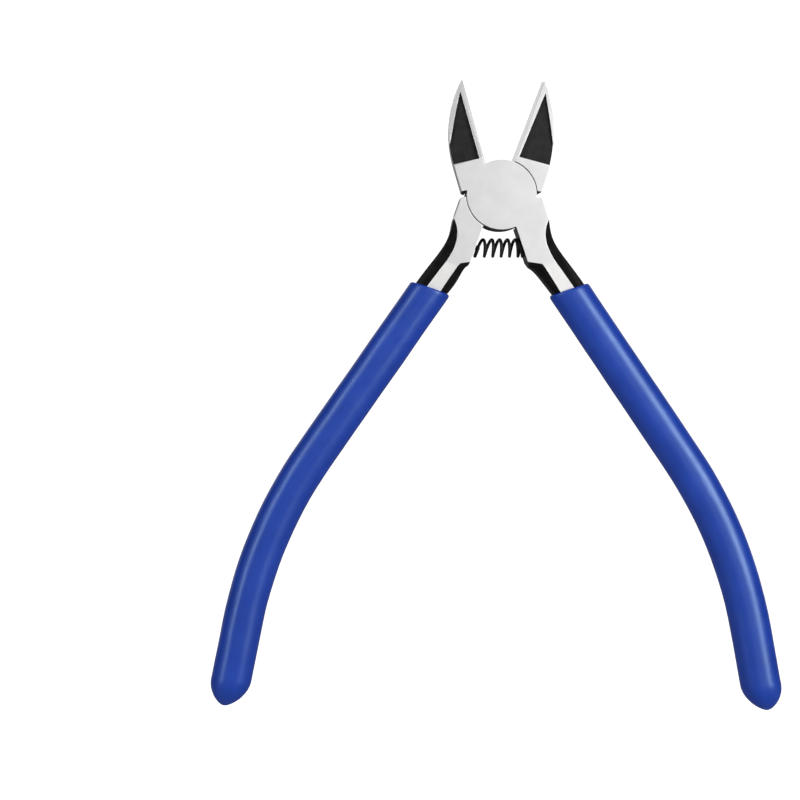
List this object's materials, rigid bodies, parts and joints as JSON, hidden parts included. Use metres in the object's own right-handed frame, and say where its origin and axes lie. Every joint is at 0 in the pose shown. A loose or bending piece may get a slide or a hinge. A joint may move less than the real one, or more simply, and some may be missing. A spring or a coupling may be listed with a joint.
{
  "type": "flush cut pliers",
  "caption": "Spring-loaded flush cutting pliers: two lapped steel halves with slanted hollow-fronted jaws, a coil spring between the shanks and long bent dipped grips.",
  "frame": {"origin": "on the pivot axis, at the head's flat back face", "axes": "+Z from the pivot to the jaws, +Y out of the flat back (flush) side, +X to the right seen from the front"},
  "size_m": [0.1265, 0.008, 0.1403],
  "materials": {
    "forged_steel": "bead-blasted satin faces, black oxide flanks and jaw hollows",
    "rivet_steel": "ground flush and bead-blasted with the head",
    "spring_steel": "black oxide wire, satin",
    "pin_steel": "black oxide",
    "dipped_vinyl": "smooth semi-gloss dipped vinyl"
  },
  "bodies": {
    "front_lever": {"front_half": "forged_steel", "pivot_rivet": "rivet_steel", "right_grip": "dipped_vinyl", "right_spring_pin": "pin_steel", "return_spring": "spring_steel"},
    "rear_lever": {"rear_half": "forged_steel", "left_grip": "dipped_vinyl", "left_spring_pin": "pin_steel"}
  },
  "joints": [
    {"name": "jaw_pivot", "type": "hinge", "parent": "front_lever", "child": "rear_lever", "pos_m": [0, 0, 0], "axis": [0, -1, 0], "range_deg": [-6, 37.6], "stiffness_Nm_per_rad": 0.56, "deforming": ["return_spring"]}
  ]
}
